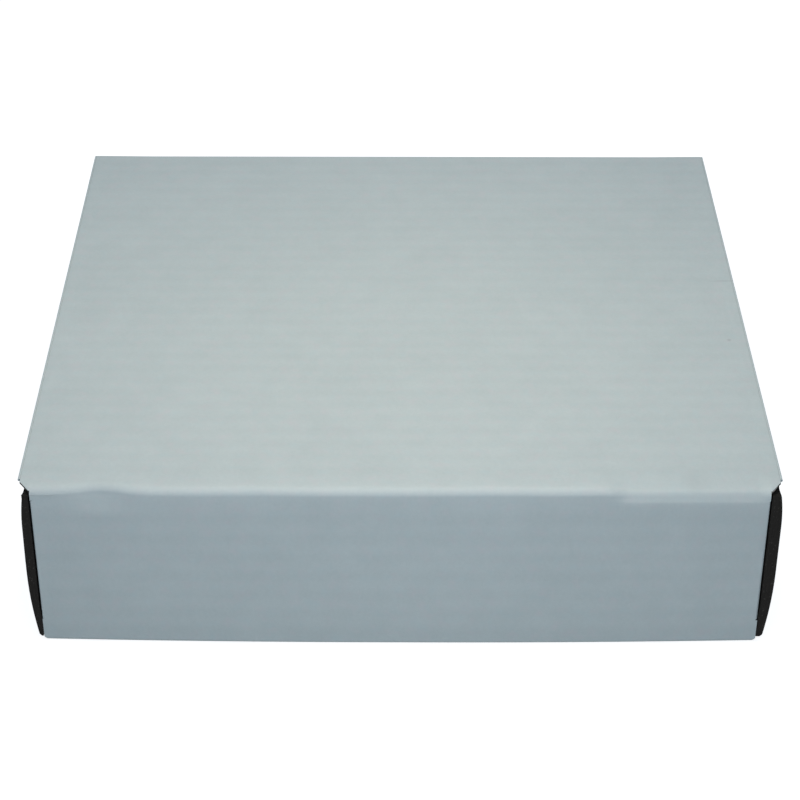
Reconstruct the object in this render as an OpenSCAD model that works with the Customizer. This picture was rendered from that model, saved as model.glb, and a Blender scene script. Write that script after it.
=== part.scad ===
// Tuck end box of corrugated board, lying flat and closed.
// +X runs along the flutes, from the left end to the right end.
// -Y is the front and +Z is up.
// The origin is the centre of the footprint, on the face that the box lies on.
// The tube is one folded and glued sheet.
// Both end flaps hinge on the top panel's end creases and tuck in over the bottom panel.

/* [Box] */
// Length of the front and back panels
panel_length = 203; // [150:1:280]
// Depth of the box along its ends, from the front face to the back face
box_depth = 197; // [160:1:280]
// Height of the box
box_height = 53; // [45:1:90]

/* [Board] */
// Thickness of the board
board = 3.2; // [2.6:0.1:3.6]
// Thickness of the board where an end crease has crushed it
crushed = 0.6; // [0.4:0.1:0.8]

/* [Tube folds] */
// Outer radius of the two front folds and of the lower back fold
wall_round = 1.5; // [1:0.1:3]
// Outer radius of the fold between the back panel and the glue tab
seam_round = 2.4; // [1:0.1:3]
// How far the front's lower fold bows out between its ends
front_bow = 1.7; // [0.5:0.1:3]
// Size of the bevel where the front fold has slipped by half a flute
slip_bevel = 1.7; // [1:0.1:2.5]
// Distance of that slip from the right end of the front panel
slip_length = 42; // [20:1:70]
// Outer radius of the folds between the walls and their dust flaps
dust_round = 1.5; // [1:0.1:3]

/* [Glue seam] */
// Depth of the glue tab under the top panel, from the back face
tab_depth = 30; // [15:1:50]
// How much shorter the tab is at its free edge, at each end
tab_mitre = 8; // [3:0.5:15]
// Gap between the tab's ends and the dust flaps
tab_gap = 0.8; // [0.5:0.1:2]

/* [Dust flaps] */
// Length of a dust flap from its wall's outer face
dust_length = 60; // [30:1:70]
// Drop of a dust flap's upper edge towards its free end
dust_taper = 2; // [0:0.5:5]
// Size of the cut corner at the top of a dust flap
dust_corner = 6; // [2:0.5:8]
// Size of the larger cut corner at the bottom of a dust flap
dust_lead = 14; // [6:1:16]

/* [End flaps] */
// How far an end flap's outer face stands past the front panel's end
overhang = 3.75; // [3.7:0.05:5]
// Length of the relief cut at the front end of a crease
relief_length = 5; // [3:0.5:8]
// How far the flap's face is drawn in at the shoulder under the crease
shoulder_set_in = 1; // [0.6:0.1:1.2]
// Depth below the top at which the face is at its widest
shoulder_reach = 12; // [8:0.5:18]
// How far the flap's face is drawn in at its lower fold
foot_set_in = 1.6; // [1:0.1:1.8]
// Depth below the top at which the face starts to turn in
foot_start = 28; // [20:1:36]
// Height of the flap's lowest edge above the ground
flap_clear = 1.75; // [1:0.25:2.5]

/* [Tongues] */
// Reach of a tongue into the box, from the end of the front panel
tongue_reach = 17.5; // [12:0.5:24]
// Radius of a tongue's free corners
tongue_round = 14; // [4:1:16]
// Side gap between a tongue and the front and back panels
tongue_gap = 2.5; // [1:0.1:6]
// How much shorter the bottom panel is than the front panel, at each end
bottom_set_in = 1.4; // [1.2:0.1:2.5]

/* [Clearances] */
// Gap between pieces that move past each other
run = 0.3; // [0.3:0.05:0.5]
// Gap between the dust flaps and the top panel
top_gap = 0.5; // [0.3:0.1:1.5]

/* [Hidden] */

// Extra length of a cutting body past the face that it cuts
slack = 1;
// Thickness of the slices that the bowed front is hulled from
slice = 0.02;
// Number of straight steps along the bowed front fold
bow_steps = 24;
paper = [0.72, 0.77, 0.77];

front_y = -box_depth / 2;
back_y = box_depth / 2;
panel_x = panel_length / 2;
outer_x = panel_x + overhang;
inner_x = outer_x - board;
bottom_x = panel_x - bottom_set_in;

// Crease: the bead that an end flap turns on lies along the edge of the top panel
bead = 2 * crushed / 3;
hinge_x = outer_x - bead;
hinge_z = box_height - bead;
lip_x = hinge_x - 2 * bead;
web = crushed / 2;
shoulder_z = box_height - crushed - run - web;
crease_length = box_depth - relief_length;
taper_x = inner_x - board;

// Faces of the end flaps are arcs above and below a flat middle
shoulder_rise = shoulder_reach - (box_height - shoulder_z);
shoulder_arc = (pow(shoulder_rise, 2) + pow(shoulder_set_in, 2)) / (2 * shoulder_set_in);
foot_z = flap_clear + web + board / 2;
foot_drop = box_height - foot_start - foot_z;
foot_arc = (pow(foot_drop, 2) + pow(foot_set_in, 2)) / (2 * foot_set_in);
foot_x = outer_x - foot_set_in - board / 2;
edge_round = board / 4;

// A tongue is a chord of the largest circle about its hinge that clears the bottom panel
function swing(x, radius) = hinge_z - sqrt(pow(radius, 2) - pow(hinge_x - x, 2));
swing_radius = norm([hinge_x - bottom_x, hinge_z - board]) - run;
tongue_end_x = panel_x - tongue_reach;
root_z = swing(bottom_x, swing_radius);
tip_z = swing(tongue_end_x, swing_radius);
chord = norm([bottom_x - tongue_end_x, tip_z - root_z]);
slope = atan2(tip_z - root_z, bottom_x - tongue_end_x);
tongue_half = box_depth / 2 - board - tongue_gap;

// Dust flaps end above the path of the tongue's upper face
tongue_inner_radius = sqrt(pow(swing_radius, 2) - pow(chord / 2, 2)) - board;
dust_x = panel_x - board;
dust_low = swing(dust_x, tongue_inner_radius - run);
dust_high = box_height - board - top_gap;
tab_half = dust_x - tab_gap;

// Sections are drawn as (y, z) and run along X
module along_x(length) {
    rotate([90, 0, 90]) linear_extrude(height = length, center = true) children();
}

// Profiles are drawn as (x, z) and run along Y
module along_y(length) {
    rotate([90, 0, 0]) linear_extrude(height = length, center = true) children();
}

module both_ends() {
    children();
    mirror([1, 0, 0]) children();
}

module both_walls() {
    children();
    mirror([0, 1, 0]) children();
}

// Takes the corner at the origin off a section that lies towards -X and -Y
module corner_cut(radius) {
    difference() {
        translate([-radius, -radius]) square(radius + slack);
        translate([-radius, -radius]) circle(radius, $fn = 64);
    }
}

// Outline of the folded tube with its rounded folds and the top panel's plain back edge
module tube_outline() {
    difference() {
        translate([front_y, 0]) square([box_depth, box_height]);
        translate([front_y, box_height]) rotate(90) corner_cut(wall_round);
        translate([front_y, 0]) rotate(180) corner_cut(wall_round);
        translate([back_y, 0]) rotate(-90) corner_cut(wall_round);
    }
}

// Four walls of the tube: the back panel turns in under the top panel's back edge
module tube_section() {
    seam_z = box_height - board;
    difference() {
        tube_outline();
        translate([front_y + board, board]) square([box_depth - 2 * board, box_height - 2 * board]);
        difference() {
            translate([back_y - seam_round, seam_z - seam_round]) square([seam_round + slack, seam_round]);
            translate([back_y - seam_round, seam_z - seam_round]) circle(seam_round, $fn = 64);
        }
    }
}

// Thin crushed edge of the top panel that carries the crease
module crease_lip() {
    intersection() {
        along_x(2 * lip_x) tube_outline();
        translate([0, 0, box_height - crushed]) linear_extrude(height = crushed) lip_plan();
    }
}

// Plan of the top panel: the relief cuts run from the crease to the front fold
module lip_plan() {
    lip_share = (lip_x - panel_x) / overhang;
    lip_y = box_depth / 2 - relief_length * lip_share;
    polygon([
        [-panel_x, front_y], [panel_x, front_y], [lip_x, -lip_y], [lip_x, back_y],
        [-lip_x, back_y], [-lip_x, -lip_y]
    ]);
}

// Board under the crease, crushed from the full thickness to the lip
module crease_crush() {
    along_y(box_depth - 2 * board) polygon([
        [taper_x, box_height - board],
        [inner_x - run, box_height - crushed],
        [outer_x, box_height - crushed],
        [outer_x, box_height - board - slack],
        [taper_x, box_height - board - slack]
    ]);
}

// Plan of the bowed front at one level, where its middle stands out by bow
module front_plan(bow, set_back) {
    face = [
        for (i = [0:bow_steps])
            let (x = panel_x * (2 * i / bow_steps - 1))
                [x, front_y + set_back - bow * (1 - pow(x / panel_x, 2))]
    ];
    polygon(concat(face, [[panel_x, front_y + board / 2], [-panel_x, front_y + board / 2]]));
}

module front_slice(z, bow, set_back) {
    translate([0, 0, z]) linear_extrude(height = slice) front_plan(bow, set_back);
}

// Outer layer of the front panel, straight at the top and bowed along its lower fold
module front_belly() {
    eased = wall_round * (1 - cos(45));
    hull() {
        front_slice(0, front_bow, wall_round);
        front_slice(eased, front_bow, eased);
        front_slice(wall_round, front_bow, 0);
        front_slice(box_height - wall_round - slice, 0, 0);
    }
}

// Follows the bow on the inside, so that the front panel keeps the board's thickness
module belly_hollow() {
    intersection() {
        translate([0, board, 0]) front_belly();
        translate([-dust_x, front_y, board])
            cube([2 * dust_x, board + slack, box_height - 2 * board]);
    }
}

// Takes the bottom panel back from the ends of the front panel
module bottom_end_cut() {
    translate([bottom_x, front_y + board, -slack])
        cube([bottom_set_in + slack, box_depth - 2 * board, board + slack]);
    along_y(box_depth + 2 * front_bow + 2 * slack) polygon([
        [bottom_x, -slack], [bottom_x, 0], [panel_x, bottom_set_in], [panel_x + slack, bottom_set_in],
        [panel_x + slack, -slack]
    ]);
}

// The front fold slips to the next half flute near the right end
module slip_cut() {
    length = slip_length + overhang;
    translate([panel_x - slip_length + length / 2, front_y, box_height])
        rotate([45, 0, 0])
            cube([length, slip_bevel * sqrt(2), slip_bevel * sqrt(2)], center = true);
}

// Glue tab: turned in from the back panel and glued under the top panel
module glue_tab() {
    translate([0, 0, box_height - 2 * board]) linear_extrude(height = 1.5 * board) polygon([
        [-tab_half, back_y - board / 2], [tab_half, back_y - board / 2],
        [tab_half - tab_mitre, back_y - tab_depth], [-tab_half + tab_mitre, back_y - tab_depth]
    ]);
}

// Dust flap of the front wall at the right end, folded in behind the end flap
module dust_flap() {
    lead_height = (dust_high - dust_low) / 3;
    translate([panel_x - board / 2, 0, 0]) along_x(board) polygon([
        [front_y, dust_low],
        [front_y, dust_high],
        [front_y + dust_length - dust_corner, dust_high - dust_taper],
        [front_y + dust_length, dust_high - dust_taper - dust_corner],
        [front_y + dust_length, dust_low + lead_height],
        [front_y + dust_length - dust_lead, dust_low + dust_taper]
    ]);
}

// Rounds the fold between a wall and its dust flap
module dust_fold_cut() {
    translate([panel_x, front_y, dust_low])
        linear_extrude(height = dust_high - dust_low) rotate(-90) corner_cut(dust_round);
}

// Centres the footprint, with the bow, on the origin
module placed() {
    translate([0, front_bow / 2, 0]) children();
}

module sleeve() {
    color(paper) placed() difference() {
        union() {
            difference() {
                along_x(panel_length) tube_section();
                both_ends() crease_crush();
            }
            crease_lip();
            glue_tab();
            front_belly();
            both_ends() both_walls() dust_flap();
        }
        belly_hollow();
        both_ends() bottom_end_cut();
        both_ends() both_walls() dust_fold_cut();
        slip_cut();
    }
}

// Section of an end flap's face, from its lower edge up to its shoulder
module flap_face() {
    difference() {
        union() {
            intersection() {
                translate([inner_x, box_height - shoulder_reach]) square([board, shoulder_rise]);
                translate([outer_x - shoulder_arc, box_height - shoulder_reach])
                    circle(shoulder_arc, $fn = 360);
            }
            translate([inner_x, box_height - foot_start]) square([board, foot_start - shoulder_reach]);
            intersection() {
                translate([inner_x, flap_clear]) square([board, box_height - foot_start - flap_clear]);
                translate([outer_x - foot_arc, box_height - foot_start]) circle(foot_arc, $fn = 720);
            }
        }
        translate([outer_x - shoulder_set_in, shoulder_z]) corner_cut(edge_round);
        translate([outer_x - foot_set_in, flap_clear]) rotate(-90) corner_cut(edge_round);
    }
}

// Bead of the crease and the crushed web that joins it to the flap's shoulder
module crease_bead() {
    web_start = [hinge_x, hinge_z];
    web_end = [outer_x - shoulder_set_in - 2 * web, shoulder_z - 2 * web];
    web_angle = atan2(web_end[1] - web_start[1], web_end[0] - web_start[0]);
    translate(web_start) circle(bead, $fn = 48);
    translate(web_start) rotate(web_angle)
        translate([0, -web]) square([norm(web_end - web_start), 2 * web]);
}

// Lower fold and the tongue, which leans up so that it swings clear of the bottom panel
module tongue_profile() {
    rise = [sin(slope), cos(slope)] * board;
    root = [foot_x, root_z - (foot_x - bottom_x) * tan(slope)];
    tip = [tongue_end_x, tip_z];
    translate([foot_x, foot_z]) circle(board / 2, $fn = 64);
    polygon([root, root + rise, tip + rise, tip]);
}

// Plan of a tongue, with rounded free corners
module tongue_plan() {
    difference() {
        translate([tongue_end_x, -tongue_half]) square([outer_x - tongue_end_x, 2 * tongue_half]);
        translate([tongue_end_x, tongue_half]) rotate(90) corner_cut(tongue_round);
        translate([tongue_end_x, -tongue_half]) rotate(180) corner_cut(tongue_round);
    }
}

module end_flap() {
    along_y(box_depth) flap_face();
    translate([0, relief_length / 2, 0]) along_y(crease_length) crease_bead();
    intersection() {
        along_y(2 * tongue_half) tongue_profile();
        linear_extrude(height = box_height) tongue_plan();
    }
}

module right_end_flap() {
    color(paper) placed() end_flap();
}

module left_end_flap() {
    color(paper) placed() mirror([1, 0, 0]) end_flap();
}

sleeve();
left_end_flap();
right_end_flap();
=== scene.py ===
import math

import bmesh
import bpy
from mathutils import Matrix, Vector, noise


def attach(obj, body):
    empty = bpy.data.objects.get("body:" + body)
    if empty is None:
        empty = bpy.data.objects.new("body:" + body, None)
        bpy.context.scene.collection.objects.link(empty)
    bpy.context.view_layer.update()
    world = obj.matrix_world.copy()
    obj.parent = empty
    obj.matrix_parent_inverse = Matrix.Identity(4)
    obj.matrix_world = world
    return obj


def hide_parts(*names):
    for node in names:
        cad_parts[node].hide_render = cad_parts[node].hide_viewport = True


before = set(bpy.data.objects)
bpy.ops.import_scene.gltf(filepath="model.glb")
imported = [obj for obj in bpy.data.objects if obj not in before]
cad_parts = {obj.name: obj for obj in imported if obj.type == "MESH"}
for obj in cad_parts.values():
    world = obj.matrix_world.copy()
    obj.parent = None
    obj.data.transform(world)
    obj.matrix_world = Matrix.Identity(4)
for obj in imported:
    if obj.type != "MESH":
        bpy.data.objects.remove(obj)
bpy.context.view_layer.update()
print("frame loaded")

# Lengths are millimetres until a mesh is written, then metres
millimetre = 0.001
flutePitch = 6.5
rowStep = flutePitch / 5
outerSkin, innerSkin, alongCut, acrossCut = range(4)   # material slots of a piece


# ---- shader helpers

class Wire:
    # Wraps an output socket, so that shader maths reads as plain expressions
    def __init__(self, finish, socket):
        self.finish = finish
        self.socket = socket

    def maths(self, operation, *values):
        inputs = dict(enumerate(values))
        return self.finish.node("ShaderNodeMath", {"operation": operation}, inputs)

    def __add__(self, other):
        return self.maths("ADD", self, other)

    def __radd__(self, other):
        return self.maths("ADD", other, self)

    def __sub__(self, other):
        return self.maths("SUBTRACT", self, other)

    def __rsub__(self, other):
        return self.maths("SUBTRACT", other, self)

    def __mul__(self, other):
        return self.maths("MULTIPLY", self, other)

    def __rmul__(self, other):
        return self.maths("MULTIPLY", other, self)

    def __truediv__(self, other):
        return self.maths("DIVIDE", self, other)

    def __rtruediv__(self, other):
        return self.maths("DIVIDE", other, self)

    def wave(self):
        return self.maths("COSINE", self)

    def size(self):
        return self.maths("ABSOLUTE", self)

    def clipped(self):
        return self.maths("MINIMUM", self.maths("MAXIMUM", self, 0.0), 1.0)


class Finish:
    # The nodes of one material or world, with a single method that adds any node
    def __init__(self, owner):
        owner.use_nodes = True
        self.owner = owner
        self.tree = owner.node_tree
        self.tree.nodes.clear()

    def node(self, kind, settings=None, inputs=None, output=0):
        made = self.tree.nodes.new(kind)
        for key, value in (settings or {}).items():
            setattr(made, key, value)
        for key, value in (inputs or {}).items():
            if isinstance(value, Wire):
                self.tree.links.new(value.socket, made.inputs[key])
            else:
                made.inputs[key].default_value = value
        return Wire(self, made.outputs[output]) if made.outputs else None

    def place(self):
        return self.node("ShaderNodeTexCoord", output="Object")

    def grain(self, vector, scale, detail=3.0, roughness=0.5):
        return self.node("ShaderNodeTexNoise", inputs={
            "Vector": vector, "Scale": scale, "Detail": detail, "Roughness": roughness})

    def stretched(self, vector, factors):
        return self.node("ShaderNodeVectorMath", {"operation": "MULTIPLY"}, {0: vector, 1: factors})

    def spot(self, vector, centre, reach):
        away = self.node("ShaderNodeVectorMath", {"operation": "DISTANCE"},
                         {0: vector, 1: [c * millimetre for c in centre]}, output=1)
        return (1 - away / (reach * millimetre)).clipped()

    def blend(self, factor, first, second):
        return self.node("ShaderNodeMix", {"data_type": "RGBA"}, {0: factor, 6: first, 7: second}, output=2)

    def bump(self, height, distance, strength):
        return self.node("ShaderNodeBump", inputs={
            "Height": height, "Distance": distance * millimetre, "Strength": strength})

    def paper(self, colour, roughness, normal, gloss):
        shader = self.node("ShaderNodeBsdfPrincipled", inputs={
            "Base Color": colour, "Roughness": roughness, "Normal": normal,
            "Specular IOR Level": gloss})
        self.node("ShaderNodeOutputMaterial", inputs={"Surface": shader})
        return self.owner


def shade(red, green, blue):
    # A screen colour of 0 to 255 as the linear colour that a shader takes
    def linear(level):
        level = level / 255
        return level / 12.92 if level <= 0.04045 else ((level + 0.055) / 1.055) ** 2.4
    return (linear(red), linear(green), linear(blue), 1.0)


# ---- finishes of the board

linerLook = {
    "pale": shade(196, 206, 205),
    "deep": shade(174, 186, 185),
    "mark": shade(140, 148, 148),
    "warm": shade(196, 194, 196),
    "cool": shade(178, 198, 200),
    # painted highlight: paler colour along the top front fold, where light catches its rounding
    "paintedFoldHighlight": shade(228, 236, 234),
    "foldHighlightAt": (0, -97.2, 52.6),
    "foldHighlightShare": 0.25,
    "foldHighlightReach": 7.0,         # how far the painted highlight runs from the top front fold
    "foldBand": 3.4,          # paler strip beside the folds at the front panel's ends
}


def whiteLiner():
    finish = Finish(bpy.data.materials.new("white_liner"))
    place = finish.place()
    sheet = finish.node("ShaderNodeUVMap", {"uv_map": "sheetPlace"})
    across = finish.node("ShaderNodeSeparateXYZ", inputs={0: sheet}, output=1)
    washboard = (across * (2 * math.pi / (flutePitch * millimetre))).wave()
    clouds = finish.grain(place, 16, 3)
    blotches = finish.grain(place, 110, 3, 0.6)
    fibres = finish.grain(place, 900, 4, 0.7)
    fuzz = finish.grain(place, 3200, 2)
    tone = (0.5 + 0.35 * (clouds - 0.5) + 0.5 * (blotches - 0.5) + 0.55 * (fibres - 0.5)
            + 0.25 * (fuzz - 0.5) + 0.045 * washboard).clipped()
    colour = finish.blend(tone, linerLook["deep"], linerLook["pale"])
    warmFlecks = ((finish.grain(place, 330, 2) - 0.5) * 3).clipped()
    coolFlecks = ((finish.grain(finish.stretched(place, (1, 1.3, 1.1)), 290, 2) - 0.5) * 3).clipped()
    colour = finish.blend(warmFlecks * 0.45, colour, linerLook["warm"])
    colour = finish.blend(coolFlecks * 0.35, colour, linerLook["cool"])
    depth = finish.node("ShaderNodeSeparateXYZ", inputs={0: place})
    height = Wire(finish, depth.socket.node.outputs["Z"])
    endBand = ((depth.size() - (101.5 - linerLook["foldBand"]) * millimetre) * 700).clipped()
    onWall = ((49 * millimetre - height) * 500).clipped()
    colour = finish.blend(endBand * onWall * 0.08, colour, linerLook["pale"])
    # Painted highlight along the top front fold, strongest at the fold and fading over a few millimetres
    paintedFoldHighlight = finish.spot(finish.stretched(place, (0, 1, 1)), linerLook["foldHighlightAt"], linerLook["foldHighlightReach"])
    colour = finish.blend(paintedFoldHighlight * paintedFoldHighlight * linerLook["foldHighlightShare"], colour, linerLook["paintedFoldHighlight"])
    smudge = finish.spot(place, (81, -92, 53), 5)
    speck = finish.spot(place, (99.5, -20, 53), 0.9)
    scratch = finish.spot(finish.stretched(place, (0.1, 1, 1)), (10.2, 15, 53), 0.6)
    colour = finish.blend(smudge * 0.16 + speck * 0.5 + scratch * 0.3, colour, linerLook["mark"])
    bump = finish.bump(fibres * 0.6 + fuzz * 0.4, 0.03, 0.35)
    return finish.paper(colour, 0.66 + 0.12 * (fibres - 0.5), bump, 0.35)


darkLook = {
    "pale": shade(46, 44, 42),
    "deep": shade(27, 26, 25),
}


def darkLiner():
    finish = Finish(bpy.data.materials.new("dark_liner"))
    place = finish.place()
    sheet = finish.node("ShaderNodeUVMap", {"uv_map": "sheetPlace"})
    across = finish.node("ShaderNodeSeparateXYZ", inputs={0: sheet}, output=1)
    washboard = (across * (2 * math.pi / (flutePitch * millimetre))).wave()
    fibres = finish.grain(place, 700, 4, 0.7)
    blotches = finish.grain(place, 60, 3)
    tone = (0.45 + 0.8 * (fibres - 0.5) + 0.5 * (blotches - 0.5) + 0.12 * washboard).clipped()
    colour = finish.blend(tone, darkLook["deep"], darkLook["pale"])
    bump = finish.bump(fibres, 0.04, 0.4)
    return finish.paper(colour, 0.72 + 0.15 * (fibres - 0.5), bump, 0.3)


edgeLook = {
    # painted shade: this darker colour stands for the shade inside the open flute hollows
    "gap": shade(13, 13, 12),
    "core": shade(36, 34, 31),
    "liner": shade(58, 58, 55),
    "torn": shade(176, 168, 160),
    "tornAt": (102.6, -96.3, 52.6),
}


def edgeAlongFlutes():
    # Edge cut along the flutes: lengthwise streaks of core paper between the two liners, with painted shade for
    # the hollow flutes between the streaks
    finish = Finish(bpy.data.materials.new("edge_along_flutes"))
    place = finish.place()
    cut = finish.node("ShaderNodeUVMap", {"uv_map": "cutPlace"})
    through = finish.node("ShaderNodeSeparateXYZ", inputs={0: cut}, output=1)
    streaks = finish.grain(finish.stretched(cut, (22, 5, 1)), 1.0, 3, 0.6)
    fibres = finish.grain(place, 1500, 3, 0.7)
    tone = (0.42 + 1.5 * (streaks - 0.5) + 0.5 * (fibres - 0.5)).clipped()
    colour = finish.blend(tone, edgeLook["gap"], edgeLook["core"])
    rim = ((0.07 - through) * 30).clipped()
    colour = finish.blend(rim * 0.5, colour, edgeLook["liner"])
    torn = (finish.spot(place, edgeLook["tornAt"], 1.9) * 2 + fibres - 0.6).clipped()
    colour = finish.blend(torn, colour, edgeLook["torn"])
    bump = finish.bump(streaks + fibres * 0.4, 0.25, 0.7)
    return finish.paper(colour, 0.85 + 0.1 * (fibres - 0.5), bump, 0.2)


def edgeAcrossFlutes():
    # Edge cut across the flutes: the wave of the core paper between the two liners, with the hollows around it in
    # painted shade
    finish = Finish(bpy.data.materials.new("edge_across_flutes"))
    place = finish.place()
    cut = finish.node("ShaderNodeUVMap", {"uv_map": "cutPlace"})
    along = finish.node("ShaderNodeSeparateXYZ", inputs={0: cut})
    through = Wire(finish, along.socket.node.outputs["Y"])
    fibres = finish.grain(place, 1500, 3, 0.7)
    crest = 0.5 + 0.38 * (along * (2 * math.pi / (flutePitch * millimetre))).wave()
    paperLine = (1 - (through - crest).size() * 11).clipped()
    liners = (((through - 0.5).size() - 0.41) * 18).clipped()
    ink = (paperLine + liners).clipped()
    colour = finish.blend(ink * (0.75 + 0.5 * (fibres - 0.5)), edgeLook["gap"], edgeLook["core"])
    bump = finish.bump(ink, 0.5, 0.8)
    return finish.paper(colour, 0.85 + 0.1 * (fibres - 0.5), bump, 0.2)


boardFinishes = [whiteLiner(), darkLiner(), edgeAlongFlutes(), edgeAcrossFlutes()]
print("board finishes made")


# ---- mesh helpers

def cutAt(bm, axis, places, faces=None):
    # Cuts straight lines across the sheet, square to one axis
    square = Vector((axis == "x", axis == "y", axis == "z"))
    for place in places:
        found = bm.faces[:] if faces is None else faces(bm)
        bmesh.ops.bisect_plane(bm, geom=withEdges(found), dist=1e-4, plane_co=square * place, plane_no=square)


def withEdges(faces):
    # The faces with their edges and corners, each once and in a fixed order
    geom = dict.fromkeys(faces)
    for face in faces:
        geom.update(dict.fromkeys(face.edges))
        geom.update(dict.fromkeys(face.verts))
    return list(geom)


def trim(bm, faces, point, outward):
    bmesh.ops.bisect_plane(bm, geom=withEdges(faces), dist=1e-4, plane_co=point, plane_no=outward,
                           clear_outer=True)


def pulled(bm, edges, offset):
    # Extrudes an open edge of the sheet and gives the new edges and corners
    made = bmesh.ops.extrude_edge_only(bm, edges=edges)["geom"]
    corners = [item for item in made if isinstance(item, bmesh.types.BMVert)]
    bmesh.ops.translate(bm, vec=offset, verts=corners)
    return newEdges(made, corners), corners


def newEdges(made, corners):
    known = set(corners)
    edges = [item for item in made if isinstance(item, bmesh.types.BMEdge)]
    return [edge for edge in edges if all(v in known for v in edge.verts)]


def openEdges(bm, test):
    return [edge for edge in bm.edges if edge.is_boundary and all(test(v.co) for v in edge.verts)]


def spread(low, high, step):
    count = max(1, round((high - low) / step))
    return [low + (high - low) * i / count for i in range(count + 1)]


def between(value, low, high):
    return max(low, min(high, value))


def thicken(bm, board, innerPlace):
    # Gives the folded sheet its thickness, then puts each inner corner where the board is crushed or not
    rest = bm.verts.layers.float_vector.new("rest")
    skin = bm.faces.layers.int.new("skin")
    for vertex in bm.verts:
        vertex[rest] = vertex.co
    bmesh.ops.solidify(bm, geom=bm.faces[:], thickness=board)
    inner = {v for v in bm.verts if (v.co - v[rest]).length > board / 20}
    for face in bm.faces:
        sides = sum(v in inner for v in face.verts)
        face[skin] = outerSkin if sides == 0 else innerSkin if sides == len(face.verts) else alongCut
    for vertex in inner:
        vertex.co = innerPlace(vertex, vertex[rest])
    return rest, skin, inner


def mapSheet(bm, rest, skin, inner, sheetPlace, alongFlutes):
    # sheetPlace runs along and across the flutes; cutPlace runs along a cut edge and through the board
    sheetMap = bm.loops.layers.uv.new("sheetPlace")
    cutMap = bm.loops.layers.uv.new("cutPlace")
    for face in bm.faces:
        cutAxis = 0
        if face[skin] >= alongCut:
            outer = [v for v in face.verts if v not in inner]
            run = outer[0][rest] - outer[-1][rest]
            cutAxis = max(range(3), key=lambda axis: abs(run[axis]))
            if abs(run.normalized().dot(alongFlutes(face, outer))) < 0.7:
                face[skin] = acrossCut
        for loop in face.loops:
            place = loop.vert[rest]
            along, across = sheetPlace(loop.vert, place)
            loop[sheetMap].uv = (along * millimetre, across * millimetre)
            depth = 1.0 if loop.vert in inner else 0.0
            loop[cutMap].uv = (place[cutAxis] * millimetre, depth)


def settle(bm, rest):
    # One fixed order of corners, edges and faces, so that every run merges the same way
    def inOrder(items, key):
        ranks = {item: rank for rank, item in enumerate(sorted(items, key=key))}
        items.sort(key=ranks.get)
        items.index_update()

    inOrder(bm.verts, lambda v: [round(c, 3) for c in (*v[rest], *v.co)])
    inOrder(bm.edges, lambda edge: sorted(v.index for v in edge.verts))
    inOrder(bm.faces, lambda face: sorted(v.index for v in face.verts))


def writePiece(bm, name, rest, skin, inner, body):
    settle(bm, rest)
    bmesh.ops.remove_doubles(bm, verts=[v for v in bm.verts if v in inner], dist=0.004)
    bmesh.ops.dissolve_degenerate(bm, edges=bm.edges[:], dist=0.002)
    for face in bm.faces:
        face.material_index = face[skin]
        face.smooth = True
    bm.normal_update()
    for edge in bm.edges:
        sides = edge.link_faces
        edge.smooth = len(sides) == 2 and sides[0][skin] == sides[1][skin] and edge.calc_face_angle(0) < 0.75
    bmesh.ops.scale(bm, vec=(millimetre,) * 3, verts=bm.verts[:])
    mesh = bpy.data.meshes.new(name)
    bm.to_mesh(mesh)
    loose = sum(1 for edge in bm.edges if len(edge.link_faces) != 2)
    bm.free()
    piece = bpy.data.objects.new(name, mesh)
    bpy.context.scene.collection.objects.link(piece)
    for material in boardFinishes:
        mesh.materials.append(material)
    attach(piece, body)
    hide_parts(body)
    print(name, "made:", len(mesh.polygons), "faces,", loose, "open edges")
    return piece


def washboard(across, depth):
    return depth * (1 - math.cos(2 * math.pi * across / flutePitch)) / 2


# ---- sleeve: the four walls, the glue tab and the dust flaps, as one folded sheet

sleeveForm = {
    "endX": 101.5, "frontY": -97.65, "backY": 99.35, "topZ": 53.0,
    "board": 3.2, "foldRound": 1.5, "frontRound": 2.2, "seamRound": 2.4,
    "glueLine": 0.05, "tabDepth": 30.0, "tabHalf": 97.5, "tabMitre": 8.0,
    "dustLow": 7.96, "dustHigh": 49.3, "backDustHigh": 47.0, "dustRound": 0.5, "dustLength": 60.0,
    "slit": 0.03, "dustTaper": 2.0, "dustCorner": 6.0, "dustLead": 14.0,
    "taperX": 98.85, "lipStartX": 101.75, "lipX": 104.5, "lipFrontY": -93.65,
    "crushed": 0.6, "bottomX": 100.1,
    "bow": 1.66, "foldSwell": 0.3, "skew": 0.5, "washDepth": 0.045, "sag": 0.25,
    "seamDroop": 0.12, "seamDroopReach": 3.0,
}
# The top front fold: places where it has been pushed back, as (x, how far, half width)
foldDents = [(-82.6, 1.9, 7.5), (-40, 0.3, 7), (22, 0.2, 10)]
# The fold has slipped to the next flute beyond fromX
slipBevel = {"fromX": 56.0, "fullX": 63.0, "slope": 0.74, "height": 4.5,
             "drop": 1.2, "reach": 9.0, "ease": 0.8}
foldSoftness = {"lean": 0.2, "height": 5.5, "wander": 0.12}
# A dent in the front panel by its left upper corner
cornerDent = {"x": -98.3, "z": 50.6, "deep": 0.75, "wideX": 2.6, "wideZ": 1.6}


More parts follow.
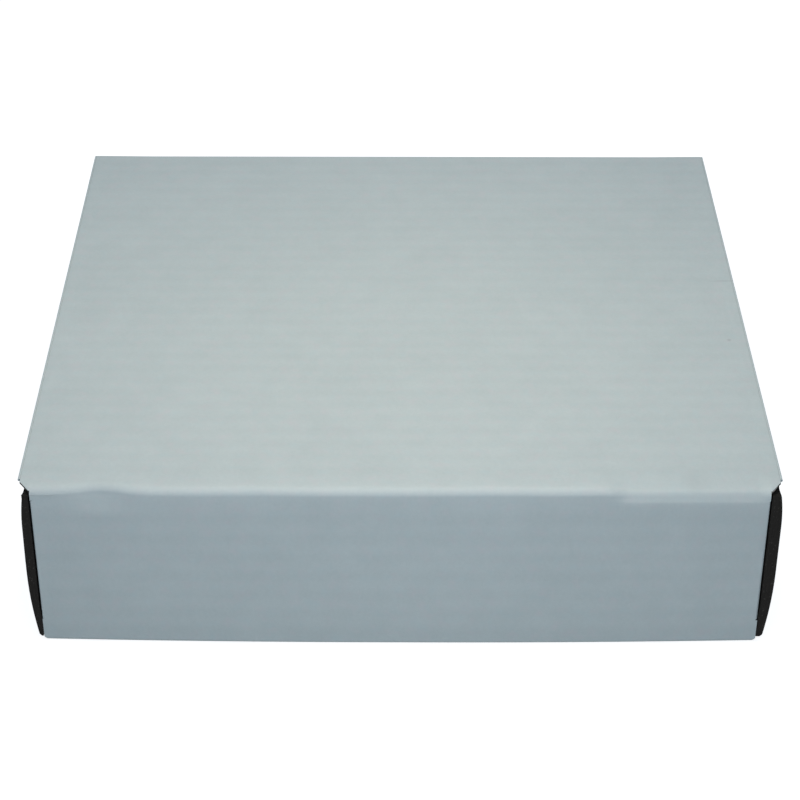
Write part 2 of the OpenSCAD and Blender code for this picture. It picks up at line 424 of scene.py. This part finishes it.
def makeSleeve(form):
    endX, frontY, backY, topZ, board = (form[k] for k in ("endX", "frontY", "backY", "topZ", "board"))
    tabZ = topZ - board - form["glueLine"]
    dustX = endX - board
    foldX = endX - form["dustRound"]
    bm = bmesh.new()
    corners = [(backY, topZ), (frontY, topZ), (frontY, 0), (backY, 0),
               (backY, tabZ), (backY - form["tabDepth"], tabZ)]
    chain = [bm.verts.new((-endX, y, z)) for y, z in corners]
    pulled(bm, [bm.edges.new(pair) for pair in zip(chain, chain[1:])], (2 * endX, 0, 0))
    for y, z, radius, segments in ((frontY, topZ, form["frontRound"], 8), (frontY, 0, form["foldRound"], 6),
                                   (backY, 0, form["foldRound"], 6), (backY, tabZ, form["seamRound"], 6)):
        fold = [e for e in bm.edges
                if all(abs(v.co.y - y) < 1e-3 and abs(v.co.z - z) < 1e-3 for v in e.verts)]
        bmesh.ops.bevel(bm, geom=fold, offset=radius, offset_type="OFFSET", segments=segments, profile=0.5,
                        affect="EDGES", material=-1)

    # Rows along the flutes, then columns
    seamY = backY - form["seamRound"]
    edgeRows = [backY - 1.0, backY - 0.5, backY - 0.2]
    cutAt(bm, "y", spread(frontY + form["foldRound"], seamY, rowStep)[1:-1] + edgeRows)
    wallRows = spread(form["foldRound"], topZ - form["foldRound"], rowStep)[1:-1]
    dustRows = [form["dustLow"] - form["slit"], form["dustLow"], form["dustHigh"], form["dustHigh"] + form["slit"],
                form["backDustHigh"], form["backDustHigh"] + form["slit"]]
    cutAt(bm, "z", sorted([z for z in wallRows if min(abs(z - d) for d in dustRows) > 0.25] + dustRows))
    columns = spread(-96, 96, 4) + spread(slipBevel["fromX"], slipBevel["fullX"], 1)
    columns += [-94, -90, -86, -82, -78, -74, -70, -66]
    for end in (-1, 1):
        columns += [end * x for x in (dustX, form["taperX"], foldX)]
    cutAt(bm, "x", sorted(set(columns)))

    # Dust flaps: the wall stops at the fold, turns and runs in behind the end
    part = bm.verts.layers.int.new("part")
    low = form["dustLow"]
    highs = {1: form["dustHigh"], -1: form["backDustHigh"]}
    gone = []
    for face in bm.faces:
        centre = face.calc_center_median()
        for wallY, inward in ((frontY, 1), (backY, -1)):
            onWall = low - form["slit"] < centre.z < highs[inward] + form["slit"]
            if onWall and abs(centre.y - wallY) < 0.01 and abs(centre.x) > foldX:
                gone.append(face)
        seamFold = centre.y > seamY - 0.01 and form["backDustHigh"] < centre.z < tabZ + 0.01
        if seamFold and abs(centre.x) > dustX:
            gone.append(face)
    bmesh.ops.delete(bm, geom=list(dict.fromkeys(gone)), context="FACES")
    for end in (-1, 1):
        for wallY, inward in ((frontY, 1), (backY, -1)):
            high = highs[inward]
            edges = openEdges(bm, lambda co: abs(co.x - end * foldX) < 1e-3 and abs(co.y - wallY) < 1e-3
                              and low - 1e-3 < co.z < high + 1e-3)
            made = bmesh.ops.spin(bm, geom=edges, cent=(end * foldX, wallY + inward * form["dustRound"], 0),
                                  axis=(0, 0, 1), angle=end * inward * math.pi / 2, steps=5, use_merge=False)
            last = [item for item in made["geom_last"] if isinstance(item, bmesh.types.BMEdge)]
            pulled(bm, last, (0, inward * (form["dustLength"] - form["dustRound"]), 0))

            def flapFaces(bm):
                return [f for f in bm.faces if abs(f.calc_center_median().x - end * endX) < 1e-3
                        and inward * (f.calc_center_median().y - wallY) > form["dustRound"]
                        and abs(f.calc_center_median().y - wallY) < 62]

            tip = form["dustLength"]
            shoulder = high - form["dustTaper"]
            leadZ = low + (high - low) / 3
            outline = [
                ((tip - form["dustCorner"], shoulder), (form["dustTaper"], tip - form["dustCorner"])),
                ((tip - form["dustCorner"], shoulder), (1, 1)),
                ((tip, leadZ), (leadZ - low - form["dustTaper"], -form["dustLead"])),
                ((0, low), (form["dustTaper"], form["dustLead"] - tip)),
            ]
            for (reach, z), (outY, outZ) in outline:
                trim(bm, flapFaces(bm), (0, wallY + inward * reach, z), Vector((0, inward * outY, outZ)))
            reaches = (3.2, 8, 14, 20, 26, 32, 38, 43, 48, 52, 56)
            cutAt(bm, "y", [wallY + inward * reach for reach in reaches], flapFaces)
    for face in bm.faces:
        centre = face.calc_center_median()
        if abs(centre.x) > foldX + 0.01 and low < centre.z < highs[1 if centre.y < 0 else -1]:
            for vertex in face.verts:
                if abs(vertex.co.x) > foldX + 0.01:
                    vertex[part] = 1

    # Glue tab with mitred ends
    for end in (-1, 1):
        centres = [(face, face.calc_center_median()) for face in bm.faces]
        tab = [face for face, centre in centres if abs(centre.z - tabZ) < 1e-3 and centre.y < seamY]
        trim(bm, tab, (end * form["tabHalf"], backY - board / 2, 0),
             Vector((end * (form["tabDepth"] - board / 2), -form["tabMitre"], 0)))

    # Crushed lips of the top panel, mitred by the relief cuts
    for end in (-1, 1):
        edges = openEdges(bm, lambda co: abs(co.x - end * endX) < 1e-3 and co.z > topZ - form["crushed"] - 0.05)
        edges, lip = pulled(bm, edges, (end * (form["lipStartX"] - endX), 0, 0))
        for vertex in lip:
            vertex[part] = 2
        edges, lip = pulled(bm, edges, (end * (form["lipX"] - form["lipStartX"]), 0, 0))
        for vertex in lip:
            vertex[part] = 2
            if vertex.co.y < form["lipFrontY"]:
                vertex.co.y = form["lipFrontY"]
                vertex.co.z = topZ
        bmesh.ops.remove_doubles(bm, verts=lip, dist=0.01)

    # The bottom panel is shorter, with a small diagonal up to each front corner
    for vertex in bm.verts:
        reach, limit = abs(vertex.co.x), form["bottomX"] + vertex.co.z
        if reach > foldX - 1e-3 and limit < endX and not vertex[part]:
            within = limit if reach > endX - 1e-3 else min(foldX, limit - 0.1)
            vertex.co.x = math.copysign(within, vertex.co.x)

    bmesh.ops.recalc_face_normals(bm, faces=bm.faces[:])
    bm.normal_update()
    topFace = max(bm.faces, key=lambda f: f.calc_center_median().z - abs(f.calc_center_median().x) * 0.001)
    if topFace.normal.z < 0:
        bmesh.ops.reverse_faces(bm, faces=bm.faces[:])

    inFront, inBack = frontY + board, backY - board
    ceiling = topZ - board

    def innerPlace(vertex, rest):
        x, y, z = rest
        width = abs(x)
        if vertex[part] == 2:
            return Vector((x, y, z - form["crushed"]))
        if vertex[part] == 1:
            return Vector((math.copysign(dustX, x), between(y, inFront, inBack), z))
        if z < topZ - 0.01 and y > backY - form["tabDepth"] - 1 and z > tabZ - form["seamRound"] + 0.01:
            return Vector((x, min(y, inBack), tabZ - board))
        if y > backY - 1e-3 and low - 1e-3 < z < form["backDustHigh"] + 1e-3 and width > dustX - 1e-3:
            return Vector((math.copysign(dustX, x), inBack, z))
        crush = between((width - form["taperX"]) / (form["lipStartX"] - form["taperX"]), 0, 1)
        roof = ceiling + crush * (topZ - form["crushed"] - ceiling)
        if y < inFront and low - 1e-3 < z < form["dustHigh"] + 1e-3:
            x = math.copysign(min(width, dustX), x)
        if z > topZ - 0.01:
            return Vector((x, max(y, inFront), roof))
        if y > inBack:
            roof = tabZ - board
        return Vector((x, between(y, inFront, inBack), between(z, board, roof)))

    rest, skin, inner = thicken(bm, board, innerPlace)

    def sheetPlace(vertex, place):
        x, y, z = place
        onFrontFold = z > topZ / 2 and y < frontY + form["frontRound"] + 0.01
        if z > topZ - 0.01 or y < frontY + form["foldRound"] or onFrontFold:
            across = y - (topZ - z)
        elif z < form["foldRound"] + 0.01:
            across = 2 * frontY - topZ - y - z
        elif z < tabZ - 0.01:
            across = 2 * frontY - topZ - backY - z
        else:
            across = 2 * frontY - 2 * topZ - 2 * backY + board + y
        if vertex[part] == 1:
            return abs(x) + min(abs(y - frontY), abs(y - backY)), z
        return x, across

    def alongFlutes(face, outer):
        onFlap = all(v[part] == 1 for v in outer)
        onLip = all(v[part] == 2 for v in outer)
        return Vector((not onFlap and not onLip, onFlap or onLip, 0))

    mapSheet(bm, rest, skin, inner, sheetPlace, alongFlutes)
    for face in bm.faces:
        if face[skin] >= alongCut and all(abs(v.co.x) > form["lipX"] - 0.01 for v in face.verts):
            face[skin] = outerSkin

    # Shape of the used box: bowed front, worn front fold, faint washboard over the flutes
    for vertex in bm.verts:
        x, y, z = vertex[rest]
        outer = vertex not in inner
        fold = vertex[part] == 0 and y < frontY + 9 and z > topZ - 9
        if vertex[part] == 0 and z > topZ - 1 and y > backY - form["seamDroopReach"]:
            edge = between((form["taperX"] - abs(x)) / 12, 0, 1)
            vertex.co.z -= edge * form["seamDroop"] * ((y - backY) / form["seamDroopReach"] + 1) ** 2
        if outer and vertex[part] == 0:
            onTop, onFront, onBack = z > topZ - 1e-3, y < frontY + 1e-3, y > backY - 1e-3
            across = y if onTop else z
            dip = washboard(across, form["washDepth"])
            drift = noise.noise(Vector((x / 45, y / 38, z / 30 + 7)))
            if onTop:
                edge = between(min(endX - abs(x), y - frontY, backY - y) / 25, 0, 1)
                vertex.co.z -= dip + form["sag"] * edge * (0.5 + 0.5 * drift)
            elif onFront:
                vertex.co.y += dip + 0.06 * (1 + drift)
            elif onBack:
                vertex.co.y -= dip + 0.1 * (1 + drift)
            elif z < 1e-3:
                vertex.co.z += dip
        if fold:
            pushFold(vertex, x, y, z, outer, form)
        belly = between((topZ - form["foldRound"] - z) / (topZ - 2 * form["foldRound"]), 0, 1)
        fade = between((-60 - y) / 34, 0, 1)
        if vertex[part] == 0:
            share = form["foldSwell"] + (1 - form["foldSwell"]) * belly
            swell = form["bow"] * max(0, 1 - (x / endX) ** 2) * share
            vertex.co.y -= (swell + form["skew"] * between(x / endX, 0, 1) * belly) * fade
    return writePiece(bm, "board_sleeve", rest, skin, inner, "sleeve")


def pushFold(vertex, x, y, z, outer, form):
    # Moves the top front fold back where it is dented or where it has slipped to the next flute
    below = form["topZ"] - form["frontRound"] - z
    behind = y - (form["frontY"] + form["frontRound"])
    push = sum(deep * math.exp(-((x - at) / wide) ** 2) for at, deep, wide in foldDents)
    push += foldSoftness["wander"] * noise.noise(Vector((x / 9, 3, 1)))
    share = between(1 - max(below, 0) / 6, 0, 1) * between(1 - behind / 4, 0, 1)
    slipped = between((x - slipBevel["fromX"]) / (slipBevel["fullX"] - slipBevel["fromX"]), 0, 1)
    slipped = slipped * slipped * (3 - 2 * slipped) * between((form["endX"] - x) / 2, 0, 1)
    deep = form["topZ"] - z
    push = push * share * (1 - slipped)
    soft = max(0, 1 - deep / foldSoftness["height"]) ** 2
    push += foldSoftness["lean"] * soft * between(1 - behind / 4, 0, 1) * (1 - slipped)
    onFront = behind < 0.01
    if slipped > 0 and outer:
        fade = max(0, 1 - behind / slipBevel["reach"]) ** 2
        if onFront:
            fade = max(0, 1 - deep / slipBevel["height"])
        drop = slipBevel["drop"] * fade
        if onFront:
            rise = max(0, slipBevel["height"] - deep - drop)
            lean = slipBevel["slope"] * rise * rise / (rise + slipBevel["ease"])
            lean += 0.5 * max(0, 1 - deep / 0.9) ** 2
            vertex.co.y += slipped * max(0, lean - (y - form["frontY"]))
        vertex.co.z -= slipped * drop
    if outer:
        vertex.co.y += push
        if y < form["frontY"] + 1e-3:
            acrossX = (x - cornerDent["x"]) / cornerDent["wideX"]
            acrossZ = (z - cornerDent["z"]) / cornerDent["wideZ"]
            vertex.co.y += cornerDent["deep"] * math.exp(-acrossX ** 2 - acrossZ ** 2)


sleeve = makeSleeve(sleeveForm)


# ---- end flaps: crease bead, bowed face, lower fold and tongue, as one folded sheet each

flapForm = {
    "outerX": 105.25, "innerX": 102.05, "frontY": -97.65, "backY": 99.35,
    "shoulderZ": 51.8, "wideHigh": 41.0, "wideLow": 25.0, "earZ": 1.75, "foldZ": 3.35,
    "shoulderIn": 1.0, "footIn": 1.6, "edgeRound": 0.8, "foldRound": 1.6, "board": 3.2,
    "creaseFrontY": -92.65, "middleY": 0.85, "beadX": 104.85, "beadZ": 52.6, "bead": 0.4,
    "tongueHalf": 92.8, "tongueSlit": 0.3, "bottomX": 100.1, "rootZ": 3.5, "slope": 15.3,
    "tipX": 84.0, "tongueRound": 14.0, "washDepth": 0.045, "leftIn": 0.7, "leftTopIn": 0.2, "wander": 0.04,
    "reliefZ": (51.2, 50.0), "creaseMitre": 4 / 3, "creaseTip": 0.6, "topZ": 53.0, "earInnerX": 101.65,
}


def makeEndFlap(form, end, name, body):
    middle, frontY, backY = form["middleY"], form["frontY"], form["backY"]
    slope = math.radians(form["slope"])
    bm = bmesh.new()
    base = bm.edges.new([bm.verts.new((form["outerX"], y, form["foldZ"])) for y in (frontY, backY)])
    pulled(bm, [base], (0, 0, form["shoulderZ"] - form["foldZ"]))
    specials = [middle + side * y for side in (-1, 1) for y in
                (form["tongueHalf"], form["tongueHalf"] + form["tongueSlit"],
                 form["tongueHalf"] - 0.25, form["tongueHalf"] - 0.8)]
    specials += [form["creaseFrontY"], backY - 0.3, backY - 1]
    columns = [y for y in spread(frontY, backY, rowStep)[1:-1] if min(abs(y - s) for s in specials) > 0.35]
    cutAt(bm, "y", sorted(columns + specials))
    cutAt(bm, "z", [4.4, 6.4, 9, 12, 15, 18, 21.5, 25, 29, 33, 37, 41, 43.5, 46, 48.2, 50, 51, 51.35, 51.6])

    # Bowed face, drawn in at the shoulder and at the foot
    def setIn(z):
        high = max(0, z - form["wideHigh"]) / (form["shoulderZ"] - form["wideHigh"])
        low = max(0, form["wideLow"] - z) / (form["wideLow"] - form["foldZ"])
        rounding = max(0, z - form["shoulderZ"] + form["edgeRound"]) / form["edgeRound"]
        return (form["shoulderIn"] * high ** 2 + form["footIn"] * low ** 2
                + form["edgeRound"] * (1 - math.sqrt(1 - min(1, rounding) ** 2)))

    for vertex in bm.verts:
        vertex.co.x -= setIn(vertex.co.z)
    part = bm.verts.layers.int.new("part")
    footX = form["outerX"] - form["footIn"]

    # Relief cut at the front end of the crease
    lowZ, highZ = form["reliefZ"]
    run = form["creaseFrontY"] - frontY
    corner = [f for f in bm.faces if f.calc_center_median().y < form["creaseFrontY"]]
    trim(bm, corner, (0, frontY, lowZ), Vector((0, lowZ - highZ, run)))

    # Ears below the face, beyond the tongue
    edges = openEdges(bm, lambda co: co.z < form["foldZ"] + 1e-3
                      and abs(co.y - middle) > form["tongueHalf"] + form["tongueSlit"] - 1e-3)
    for inset, drop in ((0.15, -0.9), (0.65, -0.7)):
        edges, corners = pulled(bm, edges, (-inset, 0, drop))
        for vertex in corners:
            vertex[part] = 1

    # Lower fold and tongue
    edges = openEdges(bm, lambda co: abs(co.z - form["foldZ"]) < 1e-3 and abs(co.x - footX) < 1e-3
                      and abs(co.y - middle) < form["tongueHalf"] + 1e-3)
    before = set(bm.verts)
    made = bmesh.ops.spin(bm, geom=edges, cent=(footX - form["foldRound"], 0, form["foldZ"]), axis=(0, 1, 0),
                          angle=math.radians(130), steps=9, use_merge=False)
    edges = [item for item in made["geom_last"] if isinstance(item, bmesh.types.BMEdge)]
    lineX = [100.62, form["bottomX"], 98.9, form["tipX"]]
    lineZ = [2.75] + [form["rootZ"] + (form["bottomX"] - x) * math.tan(slope) for x in lineX[1:]]
    for x, z in zip(lineX, lineZ):
        at = edges[0].verts[0].co
        edges, corners = pulled(bm, edges, (x - at.x, 0, z - at.z))
    for vertex in corners:
        beyond = abs(vertex.co.y - middle) - (form["tongueHalf"] - form["tongueRound"])
        if beyond > 0:
            cut = form["tongueRound"] - math.sqrt(max(0, form["tongueRound"] ** 2 - beyond ** 2))
            vertex.co.x += cut
            vertex.co.z -= cut * math.tan(slope)
    for vertex in bm.verts:
        if vertex not in before:
            vertex[part] = 2
    cutAt(bm, "x", [86.5, 89.5, 92.5, 95.5],
          lambda bm: [f for f in bm.faces if f.calc_center_median().x < 99.2])
    for vertex in bm.verts:
        if vertex.co.x < 99:
            vertex[part] = 2

    # Crushed web and the bead that the flap turns on
    edges = openEdges(bm, lambda co: co.z > form["shoulderZ"] - 1e-3 and co.y > form["creaseFrontY"] - 1e-3)
    before = set(bm.verts)
    start = math.radians(100)
    beadStart = (form["beadX"] - form["bead"] * math.cos(math.pi - start),
                 form["beadZ"] - form["bead"] * math.sin(start))
    for x, z in ((104.05, 52.0), beadStart):
        at = edges[0].verts[0].co
        edges, corners = pulled(bm, edges, (x - at.x, 0, z - at.z))
    web = set(bm.verts) - before
    bmesh.ops.spin(bm, geom=edges, cent=(form["beadX"], 0, form["beadZ"]), axis=(0, 1, 0),
                   angle=-math.radians(270), steps=14, use_merge=False)
    for vertex in bm.verts:
        if vertex not in before:
            vertex[part] = 4
    for vertex in web:
        vertex[part] = 3 if vertex.co.x < 104.2 else 4
    for vertex in bm.verts:
        if vertex not in before and vertex.co.y < form["creaseFrontY"] + 1e-3:
            vertex.co.y -= (form["outerX"] - vertex.co.x) * form["creaseMitre"]
            vertex.co.z += (form["topZ"] - vertex.co.z) * form["creaseTip"]

    bmesh.ops.recalc_face_normals(bm, faces=bm.faces[:])
    bm.normal_update()
    face = max(bm.faces, key=lambda f: f.calc_area())
    if face.normal.x < 0:
        bmesh.ops.reverse_faces(bm, faces=bm.faces[:])

    innerX = form["innerX"]
    rise = Vector((math.sin(slope), 0, math.cos(slope))) * form["board"]
    rootInZ = form["rootZ"] + (form["bottomX"] - innerX) * math.tan(slope) + form["board"] / math.cos(slope)

    def innerPlace(vertex, rest):
        x, y, z = rest
        kind = vertex[part]
        lift = 0
        if kind > 2 and y < form["creaseFrontY"] + 1e-3:
            y = form["creaseFrontY"] - (form["outerX"] - form["beadX"]) * form["creaseMitre"]
            lift = (form["topZ"] - form["beadZ"]) * form["creaseTip"]
        if kind == 4:
            return Vector((form["beadX"], y, form["beadZ"] + lift))
        if kind == 3:
            return Vector((103.7, y, 52.3 + lift))
        if kind == 2 and x < 100.3:
            return rest + rise
        if kind == 2 and x < 100.8:
            return Vector((101.5, y, rootInZ + (innerX - 101.5) * math.tan(slope)))
        if kind == 2:
            return Vector((innerX, y, rootInZ))
        inTongue = abs(y - middle) < form["tongueHalf"] + 1e-3
        if not inTongue:
            return Vector((innerX + (form["earInnerX"] - innerX) * between((12 - z) / 4, 0, 1), y, z))
        return Vector((innerX, y, max(z, rootInZ) if inTongue and kind == 0 else z))

    rest, skin, inner = thicken(bm, form["board"], innerPlace)

    def sheetPlace(vertex, place):
        reach = form["outerX"] - place.x if vertex[part] == 2 else 0
        return place.z - reach, place.y

    def alongFlutes(face, outer):
        onTongue = all(v[part] == 2 for v in outer)
        return Vector((onTongue, 0, not onTongue))

    mapSheet(bm, rest, skin, inner, sheetPlace, alongFlutes)
    for face in bm.faces:
        if face[skin] >= alongCut and all(v[part] == 4 for v in face.verts):
            face[skin] = outerSkin
    for vertex in bm.verts:
        x, y, z = vertex[rest]
        if vertex not in inner and vertex[part] in (0, 1):
            drift = noise.noise(Vector((y / 40, z / 20, end * 3)))
            wander = form["wander"] * (1 + drift) * between((51 - z) / 6, 0, 1)
            vertex.co.x -= washboard(y, form["washDepth"]) + wander
            if end < 0:
                drawn = form["leftIn"] + form["leftTopIn"] * between((z - 30) / 16, 0, 1)
                vertex.co.x -= drawn * between((52 - z) / 1.2, 0, 1)
        elif vertex not in inner and vertex[part] == 2 and x < 99:
            vertex.co.z += washboard(y, form["washDepth"])
    if end < 0:
        bmesh.ops.scale(bm, vec=(-1, 1, 1), verts=bm.verts[:])
        bmesh.ops.reverse_faces(bm, faces=bm.faces[:])
    return writePiece(bm, name, rest, skin, inner, body)


rightFlap = makeEndFlap(flapForm, 1, "board_right_flap", "right_end_flap")
leftFlap = makeEndFlap(flapForm, -1, "board_left_flap", "left_end_flap")


# ---- studio

studio = {
    "lens": 100.39, "cameraAt": (-0.002533, -0.590845, 0.410936),
    "pitch": 33.6425, "turn": -0.2674, "roll": 0.2225,
    "lampsAimAt": (0, 0, 0.03),
    "skyColour": (0.69, 0.79, 0.93), "skyLevel": 0.6,
    "floorSize": 8.0, "floorShade": 0.6, "floorGlow": 0.84, "floorShadow": 0.45,
}


def seenWhite(finish):
    # The camera and mirrors see white, while light still meets the plain shader
    rays = finish.node("ShaderNodeLightPath").socket.node.outputs
    camera, glossy, through = (
        Wire(finish, rays[f"Is {kind} Ray"]) for kind in ("Camera", "Glossy", "Transmission"))
    return (camera + glossy + through).clipped()


def makeFloor(form):
    bm = bmesh.new()
    bmesh.ops.create_grid(bm, x_segments=1, y_segments=1, size=form["floorSize"] / 2)
    mesh = bpy.data.meshes.new("floor")
    bm.to_mesh(mesh)
    bm.free()
    floor = bpy.data.objects.new("floor", mesh)
    bpy.context.scene.collection.objects.link(floor)
    finish = Finish(bpy.data.materials.new("pale_floor"))
    plain = finish.node("ShaderNodeBsdfDiffuse", inputs={"Color": (form["floorShade"],) * 3 + (1,)})
    shadow = finish.node("ShaderNodeBsdfDiffuse", inputs={"Color": (form["floorShadow"],) * 3 + (1,)})
    glow = finish.node("ShaderNodeEmission", inputs={"Color": (1, 1, 1, 1), "Strength": form["floorGlow"]})
    white = finish.node("ShaderNodeAddShader", inputs={0: glow, 1: shadow})
    mixed = finish.node("ShaderNodeMixShader", inputs={0: seenWhite(finish), 1: plain, 2: white})
    finish.node("ShaderNodeOutputMaterial", inputs={"Surface": mixed})
    mesh.materials.append(finish.owner)
    return floor


def makeSky(form):
    world = bpy.data.worlds.new("studio_sky")
    bpy.context.scene.world = world
    finish = Finish(world)
    sky = finish.node("ShaderNodeBackground", inputs={
        "Color": (*form["skyColour"], 1), "Strength": form["skyLevel"]})
    white = finish.node("ShaderNodeBackground", inputs={"Color": (1, 1, 1, 1), "Strength": 1.0})
    mixed = finish.node("ShaderNodeMixShader", inputs={0: seenWhite(finish), 1: sky, 2: white})
    finish.node("ShaderNodeOutputWorld", inputs={"Surface": mixed})


lamps = {
    "overhead": {"at": (0.0, -0.045, 0.303), "size": 0.16, "power": 0.362, "colour": (1.0, 0.89, 0.73)},
    "front": {"at": (0.0, -0.264, 0.122), "size": 0.12, "power": 0.08, "colour": (0.91, 0.95, 1.0)},
}


def makeLamp(name, form):
    light = bpy.data.lights.new(name, "AREA")
    light.size = form["size"]
    light.energy = form["power"]
    light.color = form["colour"]
    lamp = bpy.data.objects.new(name, light)
    lamp.location = form["at"]
    lamp.visible_camera = False
    aim = Vector(studio["lampsAimAt"]) - lamp.location
    lamp.rotation_euler = aim.to_track_quat("-Z", "Y").to_euler()
    bpy.context.scene.collection.objects.link(lamp)


def makeCamera(form):
    view = bpy.data.cameras.new("camera")
    view.sensor_width = 36
    view.lens = form["lens"]
    view.clip_start, view.clip_end = 0.05, 20
    camera = bpy.data.objects.new("camera", view)
    camera.location = form["cameraAt"]
    turn = Matrix.Rotation(math.radians(form["turn"]), 3, "Z")
    tilt = Matrix.Rotation(math.radians(90 - form["pitch"]), 3, "X")
    roll = Matrix.Rotation(math.radians(form["roll"]), 3, "Z")
    camera.rotation_euler = (turn @ tilt @ roll).to_euler()
    bpy.context.scene.collection.objects.link(camera)
    bpy.context.scene.camera = camera


makeFloor(studio)
makeSky(studio)
for lampName, lampForm in lamps.items():
    makeLamp(lampName, lampForm)
makeCamera(studio)
bpy.context.scene.view_settings.view_transform = "Standard"
print("studio made")
